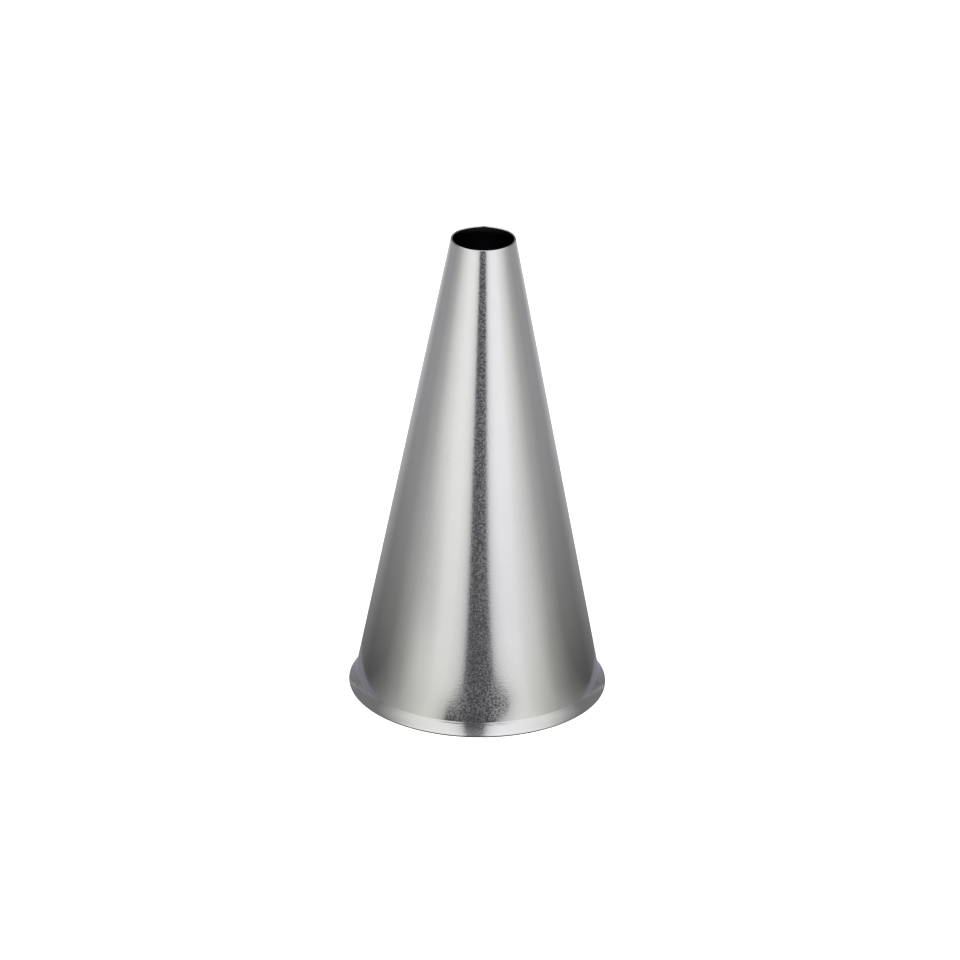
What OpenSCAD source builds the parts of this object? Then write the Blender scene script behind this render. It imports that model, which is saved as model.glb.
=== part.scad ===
// Plain round piping nozzle: one sheet of stainless steel drawn into a cone,
// with a small round outlet at the tip and a flared rim at the wide end.
// The base plane is z = 0, the axis is Z, and all sizes are in millimetres.

/* [Cone] */
// Overall height, from the base plane to the lip of the outlet
height = 56; // [45:1:65]
// Inside diameter of the outlet
outlet_d = 7; // [3:0.5:12]
// Thickness of the sheet
wall = 0.25; // [0.2:0.05:0.5]

/* [Rim] */
// Outside diameter of the rim at the base plane, the widest part
rim_d = 30; // [26:0.5:36]
// Height of the flared rim band, from the base plane to the crease above it
band_h = 1.45; // [1:0.05:2.5]
// Slope of the rim band at the crease, in degrees from upright
band_top_slope = 22; // [18:0.5:26]
// Slope of the rim band at its outer edge, in degrees from upright
band_edge_slope = 42; // [32:0.5:50]
// Height of the upright outer edge, where the rim was trimmed
edge_h = 0.15; // [0.1:0.05:0.3]
// Rounding of the outer edge's bottom corner
edge_r = 0.05; // [0.02:0.01:0.08]

/* [Hidden] */
turn_fn = 180;
lip_steps = 12;
band_steps = 8;
edge_steps = 4;

// A point of the outline is [radius, height]. A slope is in degrees from upright, and
// outward(slope) points square out of the sheet where it has that slope.
function outward(slope) = [cos(slope), sin(slope)];
function arc(centre, r, start, end, steps) =
    [for (i = [0:steps]) centre + r * outward(start + (end - start) * i / steps)];

// The band is a concave arc from the crease down to the upright outer edge.
band_end = [rim_d / 2, edge_h];
band_r = (band_h - edge_h) / (sin(band_edge_slope) - sin(band_top_slope));
band_centre = band_end + band_r * outward(band_edge_slope);
crease = band_centre - band_r * outward(band_top_slope);
foot_slope = asin(band_centre[1] / (band_r + wall));

// The cone's side is straight from the lip to the crease.
tip_r = outlet_d / 2 + wall;
cone_slope = atan((crease[0] - tip_r) / (height - band_h));

// The lip is a half round of the sheet's thickness, and its top is at the full height.
lip_r = wall / 2;
lip_centre = [tip_r - lip_r * cos(cone_slope), height - lip_r];

// The sheet's outline, down the outside from the lip and back up the inside
lip = arc(lip_centre, lip_r, cone_slope + 180, cone_slope, lip_steps);
band_outside = arc(band_centre, -band_r, band_top_slope, band_edge_slope, band_steps);
edge = arc([rim_d / 2 - edge_r, edge_r], edge_r, 0, -90, edge_steps);
band_inside = arc(band_centre, -band_r - wall, foot_slope, band_top_slope, band_steps);
crease_inside = crease - wall * outward(cone_slope);

module nozzle() {
    color("silver")
        rotate_extrude($fn = turn_fn)
            polygon(concat(lip, band_outside, edge, band_inside, [crease_inside]));
}

nozzle();
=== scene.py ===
"""Looks of the plain round piping nozzle: a spun mesh of the sheet, satin steel, and a soft light studio."""

import math

import bpy
from mathutils import Matrix, Vector


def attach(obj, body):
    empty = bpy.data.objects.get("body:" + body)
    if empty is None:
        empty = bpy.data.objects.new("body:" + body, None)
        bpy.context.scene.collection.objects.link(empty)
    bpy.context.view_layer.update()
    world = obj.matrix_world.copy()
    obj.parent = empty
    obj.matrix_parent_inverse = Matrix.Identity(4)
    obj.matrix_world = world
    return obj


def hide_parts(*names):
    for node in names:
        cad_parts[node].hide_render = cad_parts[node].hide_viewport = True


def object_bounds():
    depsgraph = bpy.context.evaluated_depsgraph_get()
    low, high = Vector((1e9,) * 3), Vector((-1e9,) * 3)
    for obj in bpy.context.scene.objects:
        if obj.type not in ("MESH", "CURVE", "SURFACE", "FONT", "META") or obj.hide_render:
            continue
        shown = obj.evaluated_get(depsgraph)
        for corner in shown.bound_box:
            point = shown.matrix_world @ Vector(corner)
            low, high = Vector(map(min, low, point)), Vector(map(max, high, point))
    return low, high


MM = 0.001

# The sheet's outline, in millimetres and degrees from upright, as in the CAD model
WALL = 0.25
OUTLET_R = 3.5
BAND_H = 1.45
BAND_TOP_SLOPE = 22.0
BAND_EDGE_SLOPE = 42.0
EDGE_H = 0.15
EDGE_R = 0.05
SEGMENTS = 360

# The camera, which looks at the axis from the front and a little above
CAMERA_DISTANCE = 0.76
CAMERA_ELEVATION = 25.0
CAMERA_ROLL = 0.8
CAMERA_LENS = 246.8
AIM_HEIGHT = 0.0257

# The floor, and the sheet just under it that only mirrored light meets
FLOOR_RADIUS = 1.2
TABLE_RADIUS = 0.45
TABLE_DROP = 0.0002
# How far the grey ring on that sheet reaches out to the left, in millimetres per metre
RING_LEAN = 30.0

# The soft light over the floor
OVERHEAD_HEIGHT = 1.1
OVERHEAD_SIZE = 1.2
OVERHEAD_POWER = 22.0

# The studio's tones, as light that the steel mirrors
WHITE = (1, 1, 1, 1)
GAP_TONE = (0.12, 0.115, 0.127, 1)
SHADE_TONE = (0.27, 0.26, 0.30, 1)


# ---------------------------------------------------------------- shapes

def outward(slope):
    """The direction square out of the sheet, [radius, height], where it leans by slope degrees."""
    return Vector((math.cos(math.radians(slope)), math.sin(math.radians(slope))))


def arc(centre, radius, start, end, steps):
    return [centre + radius * outward(start + (end - start) * i / steps) for i in range(steps + 1)]


def line(start, end, steps):
    """Points strictly between start and end."""
    return [start.lerp(end, i / steps) for i in range(1, steps)]


def sheet_outline(rim_r, height):
    """The sheet's outside, from the lip down to the foot, and its inside, from the foot back up."""
    rise = math.sin(math.radians(BAND_EDGE_SLOPE)) - math.sin(math.radians(BAND_TOP_SLOPE))
    band_r = (BAND_H - EDGE_H) / rise
    band_centre = Vector((rim_r, EDGE_H)) + band_r * outward(BAND_EDGE_SLOPE)
    crease = band_centre - band_r * outward(BAND_TOP_SLOPE)
    foot_slope = math.degrees(math.asin(band_centre.y / (band_r + WALL)))
    tip_r = OUTLET_R + WALL
    slope = math.degrees(math.atan((crease.x - tip_r) / (height - BAND_H)))
    lip_r = WALL / 2
    lip_centre = Vector((tip_r - lip_r * math.cos(math.radians(slope)), height - lip_r))

    lip = arc(lip_centre, lip_r, slope + 180, slope, 36)
    band = arc(band_centre, -band_r, BAND_TOP_SLOPE, BAND_EDGE_SLOPE, 24)
    edge = arc(Vector((rim_r - EDGE_R, EDGE_R)), EDGE_R, 0, -90, 16)
    outside = lip + line(lip[-1], crease, 80) + band + edge
    band_inside = arc(band_centre, -band_r - WALL, foot_slope, BAND_TOP_SLOPE, 16)
    crease_inside = crease - WALL * outward(slope)
    inside = band_inside + [crease_inside] + line(crease_inside, lip[0], 80)
    return outside, inside


def spun_mesh(name, outside, inside):
    """A closed ring of quads: the outline turned about the axis. The bore's points carry bore = 1."""
    outline = outside + inside
    rows = len(outline)
    points = []
    for i in range(SEGMENTS):
        turn = 2 * math.pi * i / SEGMENTS
        points += [(p.x * MM * math.sin(turn), -p.x * MM * math.cos(turn), p.y * MM) for p in outline]
    faces = []
    for i in range(SEGMENTS):
        here, there = i * rows, (i + 1) % SEGMENTS * rows
        for j in range(rows):
            k = (j + 1) % rows
            faces.append((here + j, here + k, there + k, there + j))
    mesh = bpy.data.meshes.new(name)
    mesh.from_pydata(points, [], faces)
    bore = mesh.attributes.new("bore", "FLOAT", "POINT")
    bore.data.foreach_set("value", ([0.0] * len(outside) + [1.0] * len(inside)) * SEGMENTS)
    mesh.shade_smooth()
    mesh.set_sharp_from_angle(angle=math.radians(8))
    return mesh


def add_object(name, data):
    thing = bpy.data.objects.new(name, data)
    bpy.context.scene.collection.objects.link(thing)
    return thing


def disc_mesh(name, radius, rings, segments):
    """A flat round sheet at z = 0."""
    points = [(0.0, 0.0, 0.0)]
    for ring in range(1, rings + 1):
        r = radius * ring / rings
        for i in range(segments):
            turn = 2 * math.pi * i / segments
            points.append((r * math.cos(turn), r * math.sin(turn), 0.0))
    faces = [(0, 1 + i, 1 + (i + 1) % segments) for i in range(segments)]
    for ring in range(rings - 1):
        a, b = 1 + ring * segments, 1 + (ring + 1) * segments
        for i in range(segments):
            j = (i + 1) % segments
            faces.append((a + i, b + i, b + j, a + j))
    mesh = bpy.data.meshes.new(name)
    mesh.from_pydata(points, [], faces)
    return mesh


# ---------------------------------------------------------------- node helpers

def node(tree, kind, inputs=None, **settings):
    """A shader node with its settings, and its inputs from sockets or values."""
    made = tree.nodes.new(kind)
    for key, value in settings.items():
        setattr(made, key, value)
    for key, value in (inputs or {}).items():
        if isinstance(value, bpy.types.NodeSocket):
            tree.links.new(value, made.inputs[key])
        else:
            made.inputs[key].default_value = value
    return made


def math_node(tree, operation, *values):
    return node(tree, "ShaderNodeMath", dict(enumerate(values)), operation=operation).outputs[0]


def curve(tree, value, *stops):
    """A number that follows value through the stops (value, number) in straight lines, and is flat
    beyond them."""
    low, high = stops[0][0], stops[-1][0]
    top = max(number for _, number in stops)
    share = node(tree, "ShaderNodeMapRange", {"Value": value, "From Min": low, "From Max": high})
    made = node(tree, "ShaderNodeValToRGB", {"Fac": share.outputs["Result"]})
    band = made.color_ramp
    places = [((at - low) / (high - low), number / top) for at, number in stops]
    band.elements[0].position, band.elements[1].position = places[0][0], places[-1][0]
    for at, _ in places[1:-1]:
        band.elements.new(at)
    for element, (_, grey) in zip(band.elements, places):
        element.color = (grey, grey, grey, 1)
    return math_node(tree, "MULTIPLY", made.outputs["Color"], top)


def mix(tree, factor, a, b):
    """A number between a and b."""
    return node(tree, "ShaderNodeMix", {0: factor, 2: a, 3: b}).outputs[0]


def mix_colour(tree, factor, a, b):
    return node(tree, "ShaderNodeMix", {"Factor": factor, "A": a, "B": b},
                data_type="RGBA").outputs["Result"]


def from_axis(tree, x, y):
    """The distance from the axis of a place with these x and y."""
    squares = math_node(tree, "ADD", math_node(tree, "MULTIPLY", x, x), math_node(tree, "MULTIPLY", y, y))
    return math_node(tree, "SQRT", squares)


def scaled(tree, colour, number):
    """A colour times a number."""
    if isinstance(colour, tuple):
        colour = colour[:3]
    return node(tree, "ShaderNodeVectorMath", {0: colour, "Scale": number}, operation="SCALE").outputs[0]


def multiplied(tree, a, b):
    """A colour times another."""
    return node(tree, "ShaderNodeVectorMath", {0: a, 1: b}, operation="MULTIPLY").outputs[0]


# ---------------------------------------------------------------- steel

def satin_steel():
    material = bpy.data.materials.new("satin_steel")
    material.use_nodes = True
    tree = material.node_tree
    tree.nodes.clear()
    place = node(tree, "ShaderNodeTexCoord").outputs["Object"]
    x, y, z = node(tree, "ShaderNodeSeparateXYZ", {"Vector": place}).outputs
    radius = math_node(tree, "MAXIMUM", from_axis(tree, x, y), 0.001)
    # turning lines: slow around the axis and fine along it
    turned = node(tree, "ShaderNodeCombineXYZ", {
        "X": math_node(tree, "MULTIPLY", math_node(tree, "DIVIDE", x, radius), 2.0),
        "Y": math_node(tree, "MULTIPLY", math_node(tree, "DIVIDE", y, radius), 2.0),
        "Z": math_node(tree, "MULTIPLY", z, 5500.0)}).outputs[0]
    turning = node(tree, "ShaderNodeTexNoise",
                   {"Vector": turned, "Scale": 1.0, "Detail": 2.0, "Roughness": 0.6}).outputs["Fac"]
    grain = node(tree, "ShaderNodeTexNoise",
                 {"Vector": place, "Scale": 4800.0, "Detail": 1.0, "Roughness": 0.6}).outputs["Fac"]
    mottle = node(tree, "ShaderNodeTexNoise",
                  {"Vector": place, "Scale": 300.0, "Detail": 5.0, "Roughness": 0.6}).outputs["Fac"]
    steel = mix_colour(tree, mottle, (0.60, 0.598, 0.60, 1), (0.64, 0.637, 0.633, 1))
    # the bore's colour is painted darker towards the outlet, a painted shade so that the opening looks black
    bore = node(tree, "ShaderNodeAttribute", attribute_name="bore").outputs["Fac"]
    depth = curve(tree, z, (0.018, 0.0), (0.045, 1.0))
    painted_bore_shade = math_node(tree, "MULTIPLY", bore, depth)
    colour = mix_colour(tree, painted_bore_shade, steel, (0.06, 0.06, 0.062, 1))
    # a fine grain of duller flecks, faint all round and strong along the front, where worn_width
    # is half the width of the strong strip in degrees
    worn_width = curve(tree, z, (0.0014, 5.5), (0.0015, 15.0), (0.004, 14.0), (0.007, 8.5), (0.012, 6.5),
                       (0.056, 6.0))
    past_worn = math_node(tree, "SUBTRACT", off_centre(tree, heading(tree, x, y), 0.5), worn_width)
    flecks = math_node(tree, "MULTIPLY", curve(tree, grain, (0.41, 0.0), (0.57, 1.0)),
                       curve(tree, past_worn, (-11.0, 1.0), (-6.0, 0.75), (-1.0, 0.30), (1.0, 0.12)))
    fleck_rough = curve(tree, z, (0.0003, 0.2), (0.003, 0.31), (0.020, 0.38), (0.050, 0.38))
    rough = mix(tree, flecks, 0.10, fleck_rough)
    # the rim band is finely turned, where the cone is nearly smooth
    on_band = curve(tree, z, (0.00140, 1.0), (0.00150, 0.0))
    turning_height = math_node(tree, "MULTIPLY", turning, curve(tree, on_band, (0.0, 0.08), (1.0, 1.0)))
    grain_bump = node(tree, "ShaderNodeBump", {
        "Strength": 1.0, "Distance": 0.000003, "Height": grain}).outputs["Normal"]
    bump = node(tree, "ShaderNodeBump", {
        "Strength": 1.0, "Distance": 0.000015, "Height": turning_height,
        "Normal": grain_bump}).outputs["Normal"]
    shader = node(tree, "ShaderNodeBsdfPrincipled", {
        "Base Color": colour, "Metallic": 1.0, "Roughness": rough, "Normal": bump})
    node(tree, "ShaderNodeOutputMaterial", {"Surface": shader.outputs[0]})
    return material


# ---------------------------------------------------------------- studio

def heading(tree, x, y):
    """Degrees clockwise from the front, -180 to 180, of a direction with these x and y."""
    turn = math_node(tree, "ARCTAN2", x, math_node(tree, "MULTIPLY", y, -1.0))
    return math_node(tree, "DEGREES", turn)


def off_centre(tree, turn, centre):
    return math_node(tree, "ABSOLUTE", math_node(tree, "SUBTRACT", turn, centre))


def low_light(tree, away):
    """Light by degrees away from the front that comes along the table: two broad
    panels, dim sides, and a pale backdrop."""
    return curve(tree, away, (40, 1.25), (60, 1.0), (80, 0.6), (100, 0.45), (130, 0.45), (150, 0.7),
                 (170, 0.85))


def high_light(tree, away):
    """Light from above the table: the same panels in front, and the dark room behind them."""
    return curve(tree, away, (45, 1.2), (65, 1.05), (90, 0.48), (105, 0.25))


def tinted(tree, light, turn):
    """The light's colour: faintly warm on the left panel and cool on the right, lilac at the sides."""
    warm = curve(tree, turn, (-20.0, 1.0), (10.0, 0.0), (40.0, 0.2), (60.0, 1.0))
    panel = mix_colour(tree, warm, (1.05, 1.05, 1.08, 1), (1.0, 1.0, 0.99, 1))
    side = curve(tree, off_centre(tree, turn, 0.0), (80.0, 0.0), (120.0, 1.0))
    return scaled(tree, mix_colour(tree, side, panel, (1.0, 0.99, 1.03, 1)), light)


def with_gap(tree, turn, centre, half_width, gap, colour):
    """The dark gap between the two front panels, sharp at its edge with a soft shoulder."""
    beyond = math_node(tree, "SUBTRACT", off_centre(tree, turn, centre), half_width)
    lit = curve(tree, beyond, (-1.0, 0.0), (0.5, 0.45), (3.0, 0.68), (8.0, 0.88), (16.0, 1.0))
    return mix_colour(tree, lit, gap, colour)


def studio_world():
    """The light by direction. The camera itself sees plain white."""
    world = bpy.data.worlds.new("studio")
    bpy.context.scene.world = world
    world.use_nodes = True
    tree = world.node_tree
    tree.nodes.clear()
    direction = node(tree, "ShaderNodeTexCoord").outputs["Generated"]
    x, y, z = node(tree, "ShaderNodeSeparateXYZ", {"Vector": direction}).outputs
    turn = heading(tree, x, y)
    height = math_node(tree, "DEGREES", math_node(tree, "ARCSINE", z))
    # a pale strip low on the side walls
    away = off_centre(tree, turn, 0.8)
    low_strip = curve(tree, height, (-10.0, 0.0), (-8.5, 1.0), (-5.0, 1.0), (-1.0, 0.0))
    strip = math_node(tree, "MULTIPLY", low_strip, curve(tree, away, (110, 0.0), (125, 1.0)))
    low = mix(tree, strip, low_light(tree, away), 0.84)
    # the panels are a little narrower near the table
    narrowing = curve(tree, height, (5, 7.0), (20, 0.0))
    high = high_light(tree, math_node(tree, "ADD", off_centre(tree, turn, 2.5), narrowing))
    light = mix(tree, curve(tree, height, (-1.0, 0.0), (3.0, 1.0)), low, high)
    light = mix(tree, curve(tree, height, (38.0, 0.0), (50.0, 1.0)), light, 1.25)
    gap = curve(tree, height, (12, 9.5), (13, 28.0), (18, 28.0), (20, 10.0))
    centre = math_node(tree, "MULTIPLY", curve(tree, height, (0, 0.5), (10, 2.0)), -1.0)
    dark = scaled(tree, GAP_TONE, curve(tree, height, (30, 1.0), (45, 2.0)))
    tone = with_gap(tree, turn, centre, gap, dark, tinted(tree, light, turn))
    lit = node(tree, "ShaderNodeBackground", {"Color": tone, "Strength": 1.0})
    white = node(tree, "ShaderNodeBackground", {"Color": WHITE, "Strength": 1.05})
    seen = node(tree, "ShaderNodeLightPath").outputs["Is Camera Ray"]
    both = node(tree, "ShaderNodeMixShader", {0: seen, 1: lit.outputs[0], 2: white.outputs[0]})
    node(tree, "ShaderNodeOutputWorld", {"Surface": both.outputs[0]})


def mirrored_table():
    """A sheet at table height, for mirrored light alone. It dims the studio's light towards the nozzle,
    most of all at the sides, and in front it carries the two panels and the gap, which widens at the
    foot. Its curves run over the radius in millimetres or the heading in degrees."""
    material = bpy.data.materials.new("mirrored_table")
    material.use_nodes = True
    tree = material.node_tree
    tree.nodes.clear()
    place = node(tree, "ShaderNodeTexCoord").outputs["Object"]
    x, y, _ = node(tree, "ShaderNodeSeparateXYZ", {"Vector": place}).outputs
    radius = math_node(tree, "DIVIDE", from_axis(tree, x, y), MM)
    turn = heading(tree, x, y)
    away = off_centre(tree, turn, 0.8)
    front = curve(tree, radius, (40, 0.8), (100, 0.88), (200, 0.88), (450, 1.0))
    side = curve(tree, radius, (20, 0.25), (50, 0.5), (100, 0.75), (150, 0.9), (250, 1.0))
    to_side = curve(tree, away, (60, 0.0), (90, 1.0))
    patch = math_node(tree, "MULTIPLY", curve(tree, radius, (80, 0.0), (120, 1.0), (200, 1.0), (280, 0.0)),
                      curve(tree, turn, (-80, 0.0), (-65, 1.0), (-50, 1.0), (-35, 0.0)))
    dimmed = math_node(tree, "MULTIPLY", mix(tree, to_side, front, side),
                       curve(tree, patch, (0.0, 1.0), (1.0, 0.85)))
    cast = mix_colour(tree, curve(tree, radius, (60, 1.0), (120, 0.0)), WHITE, (1.0, 1.0, 0.96, 1))
    passed = node(tree, "ShaderNodeBsdfTransparent", {"Color": scaled(tree, cast, dimmed)})

    # the gap, whose edges are not quite symmetric, and the panels beside it
    gap = curve(tree, radius, (30, 18.0), (45, 24.0), (55, 22.0), (70, 16.0), (90, 13.0), (200, 11.0),
                (400, 9.5))
    shift = curve(tree, radius, (30, 0.0), (55, 9.5), (90, 6.5), (200, 5.5), (450, 4.5))
    centre = math_node(tree, "SUBTRACT", shift, 5.0)
    dark = scaled(tree, GAP_TONE, curve(tree, radius, (60, 0.75), (100, 0.85), (200, 1.0)))
    panels = tinted(tree, math_node(tree, "MULTIPLY", low_light(tree, away), front), turn)
    tone = with_gap(tree, turn, centre, gap, dark, multiplied(tree, cast, panels))
    glow = node(tree, "ShaderNodeEmission", {"Color": tone, "Strength": 1.0})
    beside = curve(tree, away, (32, 0.0), (46, 1.0))
    both = node(tree, "ShaderNodeMixShader", {0: beside, 1: glow.outputs[0], 2: passed.outputs[0]})

    # a grey ring close to the rim, seen at the sides and wider at the left, and the contact shadow
    # under the edge
    leaned = math_node(tree, "ADD", radius, math_node(tree, "MULTIPLY", x, RING_LEAN))
    close = curve(tree, leaned, (19.2, 1.0), (20.0, 0.0))
    ring = math_node(tree, "MULTIPLY", close, curve(tree, away, (50, 0.0), (70, 1.0)))
    grey = node(tree, "ShaderNodeEmission", {"Color": SHADE_TONE, "Strength": 1.0})
    ringed = node(tree, "ShaderNodeMixShader", {0: ring, 1: both.outputs[0], 2: grey.outputs[0]})
    shadow = node(tree, "ShaderNodeEmission", {
        "Color": (1, 1, 1.06, 1), "Strength": curve(tree, away, (10, 0.04), (30, 0.14), (70, 0.32))})
    under = curve(tree, radius, (15.6, 1.0), (15.9, 0.0))
    shadowed = node(tree, "ShaderNodeMixShader", {0: under, 1: ringed.outputs[0], 2: shadow.outputs[0]})
    node(tree, "ShaderNodeOutputMaterial", {"Surface": shadowed.outputs[0]})

    made = add_object("mirrored_table", disc_mesh("mirrored_table", TABLE_RADIUS, 3, 96))
    made.location.z = -TABLE_DROP
    made.data.materials.append(material)
    made.visible_camera = False
    made.visible_diffuse = False
    made.visible_transmission = False
    made.visible_shadow = False


def floor():
    material = bpy.data.materials.new("pale_floor")
    material.use_nodes = True
    shader = material.node_tree.nodes["Principled BSDF"]
    shader.inputs["Base Color"].default_value = (0.9, 0.9, 0.9, 1)
    shader.inputs["Roughness"].default_value = 0.8
    made = add_object("floor", disc_mesh("floor", FLOOR_RADIUS, 4, 96))
    made.data.materials.append(material)
    made.visible_glossy = False


def overhead_light():
    light = bpy.data.lights.new("overhead", "AREA")
    light.shape = "SQUARE"
    light.size = OVERHEAD_SIZE
    light.energy = OVERHEAD_POWER
    made = add_object("overhead", light)
    made.location = (0.0, 0.0, OVERHEAD_HEIGHT)
    made.visible_camera = False
    made.visible_glossy = False


def camera():
    data = bpy.data.cameras.new("camera")
    data.sensor_width = 36.0
    data.lens = CAMERA_LENS
    made = add_object("camera", data)
    raised = math.radians(CAMERA_ELEVATION)
    away = Vector((0.0, -math.cos(raised), math.sin(raised)))
    aim = Vector((0.0, 0.0, AIM_HEIGHT))
    turned = (-away).to_track_quat("-Z", "Y").to_matrix().to_4x4()
    roll = Matrix.Rotation(math.radians(CAMERA_ROLL), 4, "Z")
    made.matrix_world = Matrix.Translation(aim + away * CAMERA_DISTANCE) @ turned @ roll
    bpy.context.scene.camera = made


# ---------------------------------------------------------------- scene

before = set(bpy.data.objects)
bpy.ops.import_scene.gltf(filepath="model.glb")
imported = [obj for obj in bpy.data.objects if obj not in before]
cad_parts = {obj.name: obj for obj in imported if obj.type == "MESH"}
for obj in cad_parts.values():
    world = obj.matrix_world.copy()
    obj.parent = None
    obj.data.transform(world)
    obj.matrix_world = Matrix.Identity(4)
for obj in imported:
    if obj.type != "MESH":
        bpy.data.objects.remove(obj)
cad_low, cad_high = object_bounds()
camera()
bpy.context.scene.view_settings.view_transform = "Standard"
studio_world()
floor()
mirrored_table()
overhead_light()

outside, inside = sheet_outline(cad_high.x / MM, cad_high.z / MM)
sheet = add_object("nozzle_sheet", spun_mesh("nozzle_sheet", outside, inside))
sheet.data.materials.append(satin_steel())
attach(sheet, "root")
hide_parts("nozzle")
